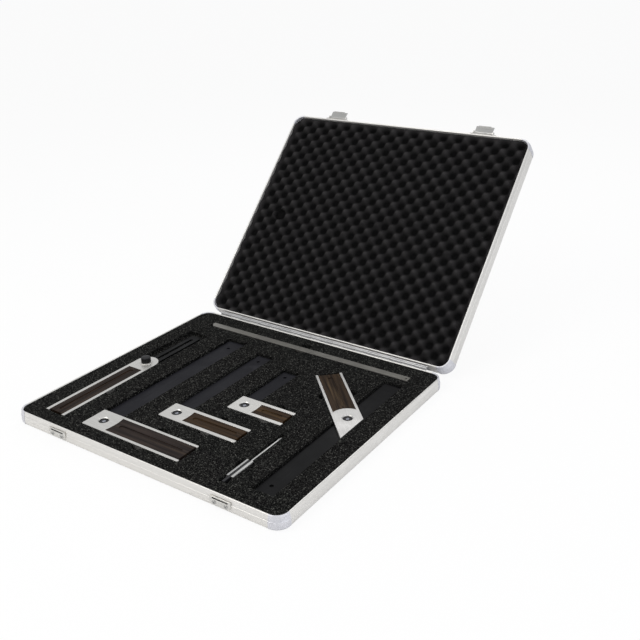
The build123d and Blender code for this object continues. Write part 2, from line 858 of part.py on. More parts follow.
def tray_rectangle(x0, x1, y0, y1):
    """A flat rectangle in tray places."""
    left, front = tray(x0, y0)
    right, back = tray(x1, y1)
    return Pos((left + right) / 2, (front + back) / 2) * Rectangle(right - left, back - front)


def deep_outline():
    """All that is cut as deep as the stocks: their pockets and the finger notches."""
    gap = pocket_gap
    shape = bevel_outline(gap)
    shape += notch_across(
        bevel_x - bevel_width / 2 - bevel_notch_left, bevel_x + bevel_width / 2 + bevel_notch_right, bevel_notch_y
    )
    for s in squares:
        shape += tray_rectangle(
            s.left - gap, s.left + s.length + gap, s.front - gap, s.front + s.width + gap
        )
        shape += notch(s.left + s.notch_along, s.front - notch_reach, s.front + s.width + notch_reach)
    shape += mitre_outline(gap)
    place = mitre_point(mitre_notch_along, mitre_width / 2)
    shape += Pos(*place) * Rot(0, 0, 45) * SlotOverall(mitre_width + 2 * notch_reach, notch_width)
    shape += notch(ruler_notch_x, ruler_notch_front, ruler_notch_back)
    shape += Pos(*tray(knife_x, knife_notch_y)) * Circle(knife_notch_radius)
    return shape


def notch_across(x0, x1, y):
    """A round-ended finger notch along X, in tray places."""
    return Pos(*tray((x0 + x1) / 2, y)) * SlotOverall(x1 - x0, notch_width)


def blade_outline():
    """The blades' pockets."""
    gap = pocket_gap
    shape = tray_rectangle(
        bevel_x - bevel_width / 2 - gap, bevel_x + bevel_width / 2 + gap, bevel_head_y, bevel_pocket_end
    )
    left, right = tray(mitre_corner_x - mitre_blade_width - gap, 0)[0], tray(mitre_corner_x + gap, 0)[0]
    shape += tray_rectangle(
        mitre_corner_x - mitre_blade_width - gap, mitre_corner_x + gap, mitre_blade_low - gap, mitre_blade_high + gap
    )
    high = tray(0, mitre_blade_high + gap)[1]
    low = tray(0, mitre_blade_low - gap)[1]
    shape += blade_end_ears(left, right, high)
    shape += mirror(blade_end_ears(left, right, -low), about=Plane.XZ)
    for s in squares:
        blade_left = s.left + square_blade_inset - gap
        blade_right = s.left + square_blade_inset + s.blade_width + gap
        end = s.front + s.width + s.blade_reach + gap
        shape += tray_rectangle(blade_left, blade_right, s.front + s.width / 2, end)
        near, far = tray(blade_left, end)
        shape += blade_end_ears(near, tray(blade_right, 0)[0], far)
    return shape


def base_foam():
    """The tray's foam with a pocket for each tool."""
    gap = pocket_gap
    foam = foam_block(foam_bottom, foam_top)
    foam -= prism(deep_outline(), stock_bottom - foam_gap, base_height)
    foam -= prism(blade_outline(), blade_bottom - foam_gap, base_height)
    ruler = tray_rectangle(
        ruler_left - gap, ruler_right + gap, ruler_front - gap, ruler_back + gap
    )
    foam -= prism(ruler, tool_top - ruler_thickness - foam_gap, base_height)
    half = handle_width / 2 + gap
    handle = tray_rectangle(knife_x - half, knife_x + half, core_tail_y - gap, handle_back + gap)
    foam -= prism(handle, tool_top - handle_height - foam_gap, base_height)
    thin = knife_shank_radius + gap
    shank = tray_rectangle(knife_x - thin, knife_x + thin, handle_back, knife_tip_y + gap)
    foam -= prism(shank, tool_top - handle_height / 2 - knife_shank_radius - foam_gap, base_height)
    return foam


def lid_foam():
    """The lid's lining: a slab with a lattice of pyramid pits and a relief for the bevel's knob."""
    low = lid_rim + egg_drop
    foam = foam_block(low, lid_top - panel_thickness - flange_thickness - foam_gap)
    half = egg_cell / 2
    base = Pos(0, 0, low - 0.5) * Rectangle(egg_cell + 0.6, egg_cell + 0.6)
    pit = Solid.make_loft([base.wire(), Vertex(0, 0, low + egg_depth)])
    row_pitch = egg_pitch / 2
    edge_x = case_width / 2 - wall_inset - half - 1
    edge_y = case_depth / 2 - wall_inset - half - 1
    first_x = egg_first_x - rim_width / 2
    first_y = hinge_y - egg_first_from_hinge
    relief_x, relief_y = tray(bevel_x, bevel_head_y)
    pits = []
    for row in range(-30, 30):
        y = first_y + row * row_pitch
        shift = row_pitch if row % 2 else 0
        for column in range(-20, 20):
            x = first_x + shift + column * egg_pitch
            inside = abs(x) < edge_x and abs(y) < edge_y
            clear = abs(x - relief_x) + abs(y - relief_y) > relief_width + half
            if inside and clear:
                pits.append(Pos(x, y, 0) * pit)
    foam = foam.cut(*pits)
    relief = Pos(relief_x, relief_y) * RegularPolygon(relief_width / 2, 12, major_radius=False)
    return foam - prism(relief, low - 1, lid_rim + relief_depth)


# Write every node
base_pieces = frame_pieces(base_height)
base_pieces["frame_back"] = drill_back_wall(base_pieces["frame_back"], -1)
base_pieces["frame_front"] = work_front_wall(base_pieces["frame_front"])
for part_name, piece in base_pieces.items():
    save(f"base_{part_name}", piece)
save("base_panel", panel())
save("base_foam", base_foam())
save("base_hinge_leaf", hinge_leaf(-1))
save("base_hinge_rivets", hinge_rivets(-1))
save("hinge_pin", hinge_pin())
save("strike_plate_left", strike_plate(-latch_offset))
save("strike_plate_right", strike_plate(latch_offset))
save("strike_screws", strike_screws())

turned_names = {
    "frame_front": "frame_back",
    "frame_back": "frame_front",
    "corner_front_left": "corner_back_left",
    "corner_back_left": "corner_front_left",
    "corner_front_right": "corner_back_right",
    "corner_back_right": "corner_front_right",
}
for part_name, piece in frame_pieces(lid_height).items():
    lid_name = turned_names.get(part_name, part_name)
    lid_piece = to_lid(piece)
    if lid_name == "frame_back":
        lid_piece = drill_back_wall(lid_piece, 1)
    if lid_name == "frame_front":
        lid_piece = drill_lid_front(lid_piece)
    save(f"lid_{lid_name}", open_lid(lid_piece))
save("lid_panel", open_lid(to_lid(panel())))
save("lid_foam", open_lid(lid_foam()))
save("lid_hinge_leaf", open_lid(hinge_leaf(1)))
save("lid_hinge_rivets", open_lid(hinge_rivets(1)))
save("latch_pins", open_lid(latch_pins()))
save("latch_rivets", open_lid(latch_rivets()))
for hand, place in (("left", -latch_offset), ("right", latch_offset)):
    save(f"latch_bracket_{hand}", open_lid(latch_bracket(place)))
    save(f"latch_lever_{hand}", open_lid(open_lever(latch_lever(place))))

tools = {}
for kind in squares:
    tools.update(square_pieces(kind))
tools.update(mitre_pieces())
tools.update(bevel_pieces())
tools["straightedge"] = straightedge()
tools.update(knife_pieces())
for part_name, piece in tools.items():
    save(part_name, piece)
print("lid hinge axis", hinge_y, base_height)
pin_rod = open_lid(rod_along_x(-1, 1, lever_y, lever_z, 1))
print("lever axis", pin_rod.center())
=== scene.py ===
# %% [markdown]
# # Square set case
# This lesson dresses a CAD frame of a slim aluminium case. The CAD holds the true sizes and the joints, so
# the script only adds what the eye needs: soft edges, foam, wood, brushed steel and light. Each step makes
# one kind of piece, says how the real one is made, and prints what it built.

# %% Load the CAD frame
import json
from math import cos, degrees, pi, radians, sin, sqrt

import bmesh
import bpy
from mathutils import Matrix, Vector


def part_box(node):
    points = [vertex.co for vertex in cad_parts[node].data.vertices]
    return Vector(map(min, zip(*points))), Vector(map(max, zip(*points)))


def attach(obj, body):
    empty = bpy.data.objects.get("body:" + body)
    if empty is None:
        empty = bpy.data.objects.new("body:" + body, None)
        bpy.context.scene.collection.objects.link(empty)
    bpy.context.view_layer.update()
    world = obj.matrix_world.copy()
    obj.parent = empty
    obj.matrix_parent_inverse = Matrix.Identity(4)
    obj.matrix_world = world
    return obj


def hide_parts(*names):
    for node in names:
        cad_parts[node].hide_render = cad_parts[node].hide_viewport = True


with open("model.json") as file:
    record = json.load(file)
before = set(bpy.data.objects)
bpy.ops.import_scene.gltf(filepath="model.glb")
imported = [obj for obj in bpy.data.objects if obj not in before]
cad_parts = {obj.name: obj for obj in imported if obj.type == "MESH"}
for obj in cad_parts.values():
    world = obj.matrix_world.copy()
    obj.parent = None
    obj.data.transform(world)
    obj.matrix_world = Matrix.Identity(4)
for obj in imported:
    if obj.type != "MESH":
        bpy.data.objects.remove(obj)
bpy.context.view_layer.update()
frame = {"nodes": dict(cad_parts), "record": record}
nodes = frame["nodes"]
mm = 0.001

# %% [markdown]
# The open lid is easier to model closed, lying flat over the base. The hinge joint in the record says where
# the pin is and how far the lid turns, so one matrix carries a closed piece to its open place.

# %% Measure the case and the lid's swing
joints = {joint["name"]: joint for joint in frame["record"]["behaviour"]["joints"]}
hinge = joints["lid_hinge"]
hinge_point = Vector(hinge["pos_m"])
open_angle = radians(hinge["range_deg"][0])
swing = Matrix.Rotation(open_angle, 4, "X")
to_open = Matrix.Translation(hinge_point) @ swing @ Matrix.Translation(-hinge_point)
to_closed = to_open.inverted()

base_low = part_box("base_frame_front")[0].z
rim_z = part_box("base_frame_front")[1].z
left_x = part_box("base_frame_left")[0].x
right_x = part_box("base_frame_right")[1].x
front_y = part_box("base_frame_front")[0].y
back_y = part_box("base_frame_back")[1].y
corner_size = right_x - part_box("base_frame_front")[1].x
print("rim height", round(rim_z, 4), "case", round(right_x - left_x, 4), round(back_y - front_y, 4))


def closed_box(node):
    """The box of a lid node as it lies with the lid closed."""
    points = [to_closed @ vertex.co for vertex in nodes[node].data.vertices]
    low = Vector(min(point[axis] for point in points) for axis in range(3))
    high = Vector(max(point[axis] for point in points) for axis in range(3))
    return low, high


lid_rim_z = closed_box("lid_frame_front")[0].z
lid_top_z = closed_box("lid_frame_front")[1].z
print("lid rim and top when closed", round(lid_rim_z, 4), round(lid_top_z, 4))

# %% [markdown]
# The camera repeats the photograph's viewpoint. Azimuth and elevation give the direction it looks from, and
# a small roll levels the case as the photographer held it.

# %% Camera
azimuth = radians(34.691)
elevation = radians(24.230)
roll = radians(-1.412)
camera_place = (0.6633, -0.7512, 0.5715)
back_way = Vector((sin(azimuth) * cos(elevation), -cos(azimuth) * cos(elevation), sin(elevation)))
right_way = Vector((cos(azimuth), sin(azimuth), 0))
up_way = back_way.cross(right_way)
rolled_right = cos(roll) * right_way + sin(roll) * up_way
rolled_up = cos(roll) * up_way - sin(roll) * right_way
camera_data = bpy.data.cameras.new("camera")
camera_data.lens = 46.75
camera_data.sensor_width = 36
camera_data.clip_start = 0.02
camera = bpy.data.objects.new("camera", camera_data)
camera_axes = Matrix((rolled_right, rolled_up, back_way)).transposed().to_4x4()
camera.matrix_world = Matrix.Translation(camera_place) @ camera_axes
bpy.context.collection.objects.link(camera)
bpy.context.scene.camera = camera
bpy.context.scene.view_settings.view_transform = "Standard"
print("camera looks from azimuth", round(degrees(azimuth), 2), "elevation", round(degrees(elevation), 2))

# %% [markdown]
# The case was shot on a seamless white sweep. The world lights everything softly, while the rays that come
# straight from the camera see plain white, so the background stays white without pouring more light on the
# object. The floor is pale paint that mostly glows where the camera sees it, so that only the soft shadow
# round the case shows on it.

# %% World, floor and lamps
world = bpy.data.worlds.new("studio")
bpy.context.scene.world = world
world.use_nodes = True
world_nodes = world.node_tree.nodes
world_nodes.clear()
world_output = world_nodes.new("ShaderNodeOutputWorld")
room_light = world_nodes.new("ShaderNodeBackground")
room_light.inputs["Color"].default_value = (0.97, 0.98, 1.0, 1)
room_light.inputs["Strength"].default_value = 0.70
seen_light = world_nodes.new("ShaderNodeBackground")
seen_light.inputs["Color"].default_value = (1, 1, 1, 1)
seen_light.inputs["Strength"].default_value = 1.0
ray_kind = world_nodes.new("ShaderNodeLightPath")
mixer = world_nodes.new("ShaderNodeMixShader")
world.node_tree.links.new(ray_kind.outputs["Is Camera Ray"], mixer.inputs[0])
world.node_tree.links.new(room_light.outputs[0], mixer.inputs[1])
world.node_tree.links.new(seen_light.outputs[0], mixer.inputs[2])
world.node_tree.links.new(mixer.outputs[0], world_output.inputs[0])


def add_lamp(name, place, target, size, power, colour):
    """A soft square lamp that faces a point."""
    lamp_data = bpy.data.lights.new(name, "AREA")
    lamp_data.size = size
    lamp_data.energy = power
    lamp_data.color = colour
    lamp = bpy.data.objects.new(name, lamp_data)
    direction = Vector(target) - Vector(place)
    lamp.matrix_world = Matrix.Translation(place) @ direction.to_track_quat("-Z", "Y").to_matrix().to_4x4()
    bpy.context.collection.objects.link(lamp)


add_lamp("key", (-0.5, -0.9, 1.3), (0, 0, 0.05), 0.9, 9, (1.0, 0.97, 0.92))
add_lamp("fill", (1.3, -0.2, 0.9), (0, 0, 0.1), 1.0, 5, (0.93, 0.95, 1.0))
add_lamp("back", (-0.3, 1.3, 1.3), (0, 0.1, 0.1), 1.0, 5, (1.0, 1.0, 1.0))

floor_reach = 60
floor_mesh = bmesh.new()
bmesh.ops.create_grid(floor_mesh, x_segments=2, y_segments=2, size=floor_reach)
floor_data = bpy.data.meshes.new("floor")
floor_mesh.to_mesh(floor_data)
floor_mesh.free()
floor = bpy.data.objects.new("floor", floor_data)
bpy.context.collection.objects.link(floor)

floor_paint = bpy.data.materials.new("pale floor")
floor_paint.use_nodes = True
floor_nodes = floor_paint.node_tree.nodes
floor_links = floor_paint.node_tree.links
floor_surface = floor_nodes["Principled BSDF"]
floor_surface.inputs["Base Color"].default_value = (0.86, 0.86, 0.86, 1)
floor_surface.inputs["Roughness"].default_value = 0.9
floor_glow = floor_nodes.new("ShaderNodeEmission")
floor_glow.inputs["Color"].default_value = (1, 1, 1, 1)
floor_glow.inputs["Strength"].default_value = 1.0
floor_ray = floor_nodes.new("ShaderNodeLightPath")
glow_share = floor_nodes.new("ShaderNodeMath")
glow_share.operation = "MULTIPLY"
glow_share.inputs[1].default_value = 0.90
floor_mix = floor_nodes.new("ShaderNodeMixShader")
floor_links.new(floor_ray.outputs["Is Camera Ray"], glow_share.inputs[0])
floor_links.new(glow_share.outputs[0], floor_mix.inputs[0])
floor_links.new(floor_surface.outputs[0], floor_mix.inputs[1])
floor_links.new(floor_glow.outputs[0], floor_mix.inputs[2])
floor_links.new(floor_mix.outputs[0], floor_nodes["Material Output"].inputs[0])
floor_data.materials.append(floor_paint)
print("world, floor and three lamps")

# %% [markdown]
# Many finishes here share the same effects. Each effect is a node group that puts out one mask from 0 to 1:
# a grain that can be stretched along one way, as brushing and wood need, and pale flecks, as foam needs.

# %% Shared shader effects
def new_group(name, inputs):
    """A node group with float or vector inputs and one mask output."""
    group = bpy.data.node_groups.new(name, "ShaderNodeTree")
    for label, kind, value in inputs:
        socket = group.interface.new_socket(label, in_out="INPUT", socket_type=kind)
        socket.default_value = value
    group.interface.new_socket("Mask", in_out="OUTPUT", socket_type="NodeSocketFloat")
    start = group.nodes.new("NodeGroupInput")
    end = group.nodes.new("NodeGroupOutput")
    return group, start, end


def ramp(group, source, low, high):
    """Stretch the values between low and high to 0 and 1."""
    node = group.nodes.new("ShaderNodeMapRange")
    node.inputs["From Min"].default_value = low
    node.inputs["From Max"].default_value = high
    group.links.new(source, node.inputs["Value"])
    return node.outputs[0]


grain_group, grain_in, grain_out = new_group(
    "stretched grain",
    [
        ("Turn", "NodeSocketVector", (0, 0, 0)),
        ("Stretch", "NodeSocketVector", (1, 1, 1)),
        ("Scale", "NodeSocketFloat", 200.0),
        ("Low", "NodeSocketFloat", 0.3),
        ("High", "NodeSocketFloat", 0.7),
    ],
)
grain_place = grain_group.nodes.new("ShaderNodeTexCoord")
grain_turn = grain_group.nodes.new("ShaderNodeVectorRotate")
grain_turn.rotation_type = "EULER_XYZ"
grain_scale = grain_group.nodes.new("ShaderNodeVectorMath")
grain_scale.operation = "MULTIPLY"
grain_noise = grain_group.nodes.new("ShaderNodeTexNoise")
grain_noise.inputs["Detail"].default_value = 5
grain_range = grain_group.nodes.new("ShaderNodeMapRange")
grain_group.links.new(grain_place.outputs["Object"], grain_turn.inputs["Vector"])
grain_group.links.new(grain_in.outputs["Turn"], grain_turn.inputs["Rotation"])
grain_group.links.new(grain_turn.outputs[0], grain_scale.inputs[0])
grain_group.links.new(grain_in.outputs["Stretch"], grain_scale.inputs[1])
grain_group.links.new(grain_scale.outputs[0], grain_noise.inputs["Vector"])
grain_group.links.new(grain_in.outputs["Scale"], grain_noise.inputs["Scale"])
grain_group.links.new(grain_noise.outputs[0], grain_range.inputs["Value"])
grain_group.links.new(grain_in.outputs["Low"], grain_range.inputs["From Min"])
grain_group.links.new(grain_in.outputs["High"], grain_range.inputs["From Max"])
grain_group.links.new(grain_range.outputs[0], grain_out.inputs["Mask"])

fleck_rim = 0.55
fleck_core = 0.15
fleck_group, fleck_in, fleck_out = new_group(
    "pale flecks", [("Scale", "NodeSocketFloat", 600.0), ("Bare Share", "NodeSocketFloat", 0.5)]
)
fleck_place = fleck_group.nodes.new("ShaderNodeTexCoord")
fleck_cells = fleck_group.nodes.new("ShaderNodeTexVoronoi")
fleck_split = fleck_group.nodes.new("ShaderNodeSeparateColor")
fleck_pick = fleck_group.nodes.new("ShaderNodeMapRange")
fleck_pick.inputs["From Max"].default_value = 1.0
fleck_both = fleck_group.nodes.new("ShaderNodeMath")
fleck_both.operation = "MULTIPLY"
fleck_group.links.new(fleck_place.outputs["Object"], fleck_cells.inputs["Vector"])
fleck_group.links.new(fleck_in.outputs["Scale"], fleck_cells.inputs["Scale"])
fleck_group.links.new(fleck_cells.outputs["Color"], fleck_split.inputs[0])
fleck_group.links.new(fleck_split.outputs[0], fleck_pick.inputs["Value"])
fleck_group.links.new(fleck_in.outputs["Bare Share"], fleck_pick.inputs["From Min"])
fleck_disc = ramp(fleck_group, fleck_cells.outputs["Distance"], fleck_rim, fleck_core)
fleck_group.links.new(fleck_disc, fleck_both.inputs[0])
fleck_group.links.new(fleck_pick.outputs[0], fleck_both.inputs[1])
fleck_group.links.new(fleck_both.outputs[0], fleck_out.inputs["Mask"])
print("groups", grain_group.name, "and", fleck_group.name)

# %% [markdown]
# A finish is a base colour that wanders between two tones, a roughness that wanders with it, and a bump
# that catches the light. One helper wires these three to any mask, so every material below is a few lines
# of real numbers.

# %% A helper that wires a finish
class Finish:
    """A material under construction, with its Principled surface ready."""

    def __init__(self, name, metallic, roughness, specular=0.5):
        self.material = bpy.data.materials.new(name)
        self.material.use_nodes = True
        self.nodes = self.material.node_tree.nodes
        self.links = self.material.node_tree.links
        self.surface = self.nodes["Principled BSDF"]
        self.surface.inputs["Metallic"].default_value = metallic
        self.surface.inputs["Roughness"].default_value = roughness
        self.surface.inputs["Specular IOR Level"].default_value = specular
        self.bumped = None

    def grain(self, scale, stretch=(1, 1, 1), turn=(0, 0, 0), low=0.3, high=0.7):
        """A stretched grain mask."""
        node = self.nodes.new("ShaderNodeGroup")
        node.node_tree = grain_group
        node.inputs["Scale"].default_value = scale
        node.inputs["Stretch"].default_value = stretch
        node.inputs["Turn"].default_value = turn
        node.inputs["Low"].default_value = low
        node.inputs["High"].default_value = high
        return node.outputs[0]

    def flecks(self, scale, bare):
        """A fleck mask: bare is the share of cells with no fleck."""
        node = self.nodes.new("ShaderNodeGroup")
        node.node_tree = fleck_group
        node.inputs["Scale"].default_value = scale
        node.inputs["Bare Share"].default_value = bare
        return node.outputs[0]

    def colour(self, mask, dark, light):
        """Blend two colours by a mask and return the blend."""
        node = self.nodes.new("ShaderNodeMix")
        node.data_type = "RGBA"
        node.inputs[6].default_value = (*dark, 1)
        node.inputs[7].default_value = (*light, 1)
        self.links.new(mask, node.inputs[0])
        self.links.new(node.outputs[2], self.surface.inputs["Base Color"])
        return node

    def overlay(self, mask, under, colour):
        """Lay one more colour over a blend where a mask says so."""
        node = self.nodes.new("ShaderNodeMix")
        node.data_type = "RGBA"
        node.inputs[7].default_value = (*colour, 1)
        self.links.new(mask, node.inputs[0])
        self.links.new(under.outputs[2], node.inputs[6])
        self.links.new(node.outputs[2], self.surface.inputs["Base Color"])
        return node

    def rough(self, mask, low, high):
        """Let the roughness wander between two values."""
        node = self.nodes.new("ShaderNodeMapRange")
        node.inputs["To Min"].default_value = low
        node.inputs["To Max"].default_value = high
        self.links.new(mask, node.inputs["Value"])
        self.links.new(node.outputs[0], self.surface.inputs["Roughness"])

    def bump(self, mask, depth, strength):
        """Raise the surface by a mask, in metres; a second call adds to the first."""
        node = self.nodes.new("ShaderNodeBump")
        node.inputs["Distance"].default_value = depth
        node.inputs["Strength"].default_value = strength
        self.links.new(mask, node.inputs["Height"])
        if self.bumped is not None:
            self.links.new(self.bumped, node.inputs["Normal"])
        self.bumped = node.outputs[0]
        self.links.new(self.bumped, self.surface.inputs["Normal"])


print("a finish can have", [name for name in vars(Finish) if not name.startswith("_")])


# %% [markdown]
# Metals first. The extrusions are satin anodised aluminium with faint lines along their length, the corner
# castings are a cooler, grainier grey, the rivets, pins and levers are bright nickel, and the tool steel shows
# short brushing lines. A finish that has a direction gets a turn: the angle that lays its lines along a piece.

# %% Metal finishes
no_turn = (0, 0, 0)
eighth_turn = (0, 0, radians(45))
quarter_turn = (0, 0, radians(90))


def aluminium(name, stretch, low=(0.72, 0.705, 0.675), high=(0.80, 0.785, 0.755)):
    """Satin extrusion with faint lines along one axis."""
    finish = Finish(name, metallic=0.7, roughness=0.38)
    lines = finish.grain(900, stretch, low=0.25, high=0.75)
    finish.colour(lines, low, high)
    finish.rough(finish.grain(60, low=0.3, high=0.75), low=0.34, high=0.46)
    finish.bump(lines, depth=0.00002, strength=0.35)
    return finish.material


rail_along_x = aluminium("satin rail along x", (0.02, 1, 1))
rail_along_y = aluminium("satin rail along y", (1, 0.02, 0.02))
panel_metal = aluminium("satin panel", (0.02, 1, 1), (0.60, 0.60, 0.60), (0.68, 0.68, 0.675))
hinge_metal = aluminium("grey hinge leaf", (0.02, 1, 1), (0.38, 0.38, 0.385), (0.50, 0.50, 0.505))

casting = Finish("cast corner", metallic=0.65, roughness=0.42)
casting_grain = casting.grain(700, low=0.3, high=0.7)
casting.colour(casting_grain, (0.63, 0.63, 0.665), (0.72, 0.72, 0.755))
casting.rough(casting.grain(120), low=0.38, high=0.52)
casting.bump(casting_grain, depth=0.00003, strength=0.3)

nickel = Finish("bright nickel", metallic=1.0, roughness=0.22)
nickel_grain = nickel.grain(500)
nickel.colour(nickel_grain, (0.78, 0.78, 0.79), (0.88, 0.88, 0.87))
nickel.rough(nickel.grain(90), low=0.16, high=0.32)
nickel.bump(nickel_grain, depth=0.00001, strength=0.3)


def brushed_steel(name, turn, low=(0.60, 0.59, 0.565), high=(0.73, 0.72, 0.69), metallic=0.85):
    """Tool steel with short brushing lines along a turned X axis and soft smears."""
    finish = Finish(name, metallic, roughness=0.34)
    lines = finish.grain(1400, (0.03, 1, 1), turn, 0.25, 0.75)
    finish.colour(lines, low, high)
    finish.rough(finish.grain(45), low=0.30, high=0.46)
    finish.bump(lines, depth=0.00001, strength=0.35)
    return finish.material


stock_steel = brushed_steel("brushed stock", no_turn)
mitre_steel = brushed_steel("brushed mitre stock", eighth_turn, (0.50, 0.495, 0.48), (0.61, 0.60, 0.585))
knife_steel = brushed_steel("worn knife steel", quarter_turn, (0.34, 0.34, 0.33), (0.56, 0.56, 0.545), 0.9)
dome_steel = brushed_steel("dark polished dome", no_turn, (0.20, 0.21, 0.24), (0.30, 0.31, 0.34), 1.0)
bevel_steel = brushed_steel("brushed bevel stock", quarter_turn)
ruler_steel = brushed_steel("dull ruler steel", no_turn, (0.17, 0.165, 0.15), (0.25, 0.24, 0.22), 0.7)


def blued(name, low, high, rub):
    """Dark blued blade steel with fine lines along Y and a few pale rubs."""
    finish = Finish(name, metallic=0.0, roughness=0.5, specular=0.10)
    lines = finish.grain(1100, (1, 0.02, 1), low=0.3, high=0.7)
    tone = finish.colour(lines, low, high)
    finish.overlay(finish.grain(35, low=0.62, high=0.8), tone, rub)
    finish.rough(finish.grain(30), low=0.42, high=0.56)
    finish.bump(lines, depth=0.00001, strength=0.3)
    return finish.material


blade_steel = blued(
    "blued blade",
    low=(0.0065, 0.0065, 0.009),
    high=(0.012, 0.012, 0.0155),
    rub=(0.020, 0.020, 0.024),
)
mitre_blade_steel = blued(
    "black mitre blade",
    low=(0.0022, 0.0022, 0.0026),
    high=(0.0045, 0.0045, 0.005),
    rub=(0.008, 0.008, 0.009),
)
# Painted shade: a near-black finish laid where only shade falls, on the floor of a stud's recess, in a strike
# plate's slot and on the knife's core between its handle cheeks.
painted_shade = Finish("shaded recess", metallic=0.0, roughness=0.5, specular=0.3)
painted_shade.colour(painted_shade.grain(300), (0.006, 0.006, 0.007), (0.014, 0.014, 0.016))
print("metals ready")

# %% [markdown]
# Rosewood is dark and oily, with long streaks. Foam is the opposite of metal: it swallows light. The tray
# is recycled foam with pale flecks pressed into it. The lid's lining is plain charcoal egg-crate with painted
# shade that darkens it the deeper it lies: an attribute named pit, stored on its mesh, says how deep.

# %% Wood, foam and plastic finishes
def rosewood(name, turn, dark, light, gold):
    """Oiled rosewood with streaks along a turned X axis, a few golden ones and fine black pores."""
    pores = (0.006, 0.0035, 0.0025)
    finish = Finish(name, metallic=0.0, roughness=0.5, specular=0.09)
    streaks = finish.grain(260, (0.045, 1, 1), turn, 0.36, 0.66)
    tone = finish.colour(streaks, dark, light)
    golden = finish.overlay(finish.grain(150, (0.04, 1, 1), turn, 0.56, 0.74), tone, gold)
    finish.overlay(finish.grain(1100, (0.03, 1, 1), turn, 0.58, 0.72), golden, pores)
    finish.rough(streaks, low=0.55, high=0.42)
    finish.bump(finish.grain(900, (0.04, 1, 1), turn), depth=0.00006, strength=0.5)
    return finish.material


wood_dark = rosewood(
    "dark rosewood along x",
    no_turn,
    dark=(0.010, 0.0068, 0.0060),
    light=(0.030, 0.020, 0.016),
    gold=(0.040, 0.027, 0.018),
)
wood_along_x = rosewood(
    "rosewood along x",
    no_turn,
    dark=(0.012, 0.0062, 0.0028),
    light=(0.046, 0.024, 0.009),
    gold=(0.095, 0.055, 0.020),
)
wood_along_y = rosewood(
    "rosewood along y",
    quarter_turn,
    dark=(0.009, 0.005, 0.0035),
    light=(0.024, 0.014, 0.009),
    gold=(0.045, 0.026, 0.015),
)
wood_diagonal = rosewood(
    "rosewood on the diagonal",
    eighth_turn,
    dark=(0.011, 0.006, 0.0035),
    light=(0.040, 0.024, 0.012),
    gold=(0.15, 0.10, 0.05),
)

tray_foam = Finish("flecked tray foam", metallic=0.0, roughness=1.0, specular=0.03)
small_flecks = tray_foam.flecks(scale=1050, bare=0.22)
large_flecks = tray_foam.flecks(scale=560, bare=0.66)
fleck_tone = tray_foam.colour(small_flecks, (0.0032, 0.0032, 0.0032), (0.085, 0.085, 0.080))
tray_foam.overlay(large_flecks, fleck_tone, (0.13, 0.13, 0.118))
tray_foam.bump(small_flecks, depth=0.0004, strength=0.6)
tray_foam.bump(tray_foam.grain(500), depth=0.0005, strength=0.5)

egg_foam = Finish("charcoal egg-crate foam", metallic=0.0, roughness=1.0, specular=0.03)
egg_pores = egg_foam.grain(1300, low=0.35, high=0.65)
# Painted shade: the lining's colour runs from a lighter charcoal at the peaks to near black deep in the pits,
# set by the pit attribute.
egg_depth = egg_foam.nodes.new("ShaderNodeAttribute")
egg_depth.attribute_name = "pit"
egg_pit_shade = egg_foam.colour(egg_depth.outputs["Fac"], (0.038, 0.036, 0.037), (0.0045, 0.0045, 0.0046))
egg_foam.overlay(egg_foam.grain(60, low=0.5, high=0.9), egg_pit_shade, (0.0075, 0.0073, 0.0075))
egg_foam.bump(egg_pores, depth=0.0003, strength=0.5)

black_plastic = Finish("black knurled knob", metallic=0.0, roughness=0.4, specular=0.25)
black_grain = black_plastic.grain(800)
black_plastic.colour(black_grain, (0.003, 0.003, 0.0035), (0.008, 0.008, 0.009))
black_plastic.rough(black_plastic.grain(200), low=0.32, high=0.5)
black_plastic.bump(black_grain, depth=0.00003, strength=0.4)
print("wood, foam and plastic ready")

# %% [markdown]
# Every new piece ends the same way: its normals face out, gentle curves shade smooth while real edges stay
# crisp, it gets a finish, and it rides on the body whose CAD nodes it stands for. The widths below are how
# much of an edge a file or a press has rounded off.

# %% Helpers that finish a piece
plain_edge = 0.2 * mm
thin_edge = 0.1 * mm
sheet_edge = 0.05 * mm
weld_reach = 2e-6
flat_angle = radians(1)

node_body = {}
for body_name, members in frame["record"]["behaviour"]["bodies"].items():
    for member in members:
        node_body[member] = body_name


def finish_piece(name, bm, material, replaced, crisp=32):
    """Turn a bmesh into an object that rides on the body of the nodes it replaces."""
    bmesh.ops.remove_doubles(bm, verts=bm.verts, dist=1e-7)
    bmesh.ops.recalc_face_normals(bm, faces=bm.faces)
    for face in bm.faces:
        face.smooth = True
    for edge in bm.edges:
        edge.smooth = len(edge.link_faces) == 2 and edge.calc_face_angle(0) < radians(crisp)
    mesh = bpy.data.meshes.new(name)
    bm.to_mesh(mesh)
    bm.free()
    mesh.materials.append(material)
    piece = bpy.data.objects.new(name, mesh)
    bpy.context.collection.objects.link(piece)
    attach(piece, node_body[replaced[0]])
    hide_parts(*replaced)
    return piece


def welded(node):
    """A bmesh copy of a CAD node with its loose triangles joined and its flat faces made whole."""
    bm = bmesh.new()
    bm.from_mesh(nodes[node].data)
    bmesh.ops.remove_doubles(bm, verts=bm.verts, dist=weld_reach)
    bmesh.ops.dissolve_limit(bm, angle_limit=flat_angle, verts=bm.verts, edges=bm.edges)
    return bm


def soften(piece, width, angle=30):
    """A live bevel on the crisp edges of a piece."""
    bevel = piece.modifiers.new("soft edges", "BEVEL")
    bevel.width = width
    bevel.segments = 2
    bevel.limit_method = "ANGLE"
    bevel.angle_limit = radians(angle)
    bevel.use_clamp_overlap = False
    bevel.harden_normals = True


def dressed(node, material, width=plain_edge):
    """A softened copy of a CAD node in a finish."""
    soften(finish_piece(f"{node}_skin", welded(node), material, [node]), width)


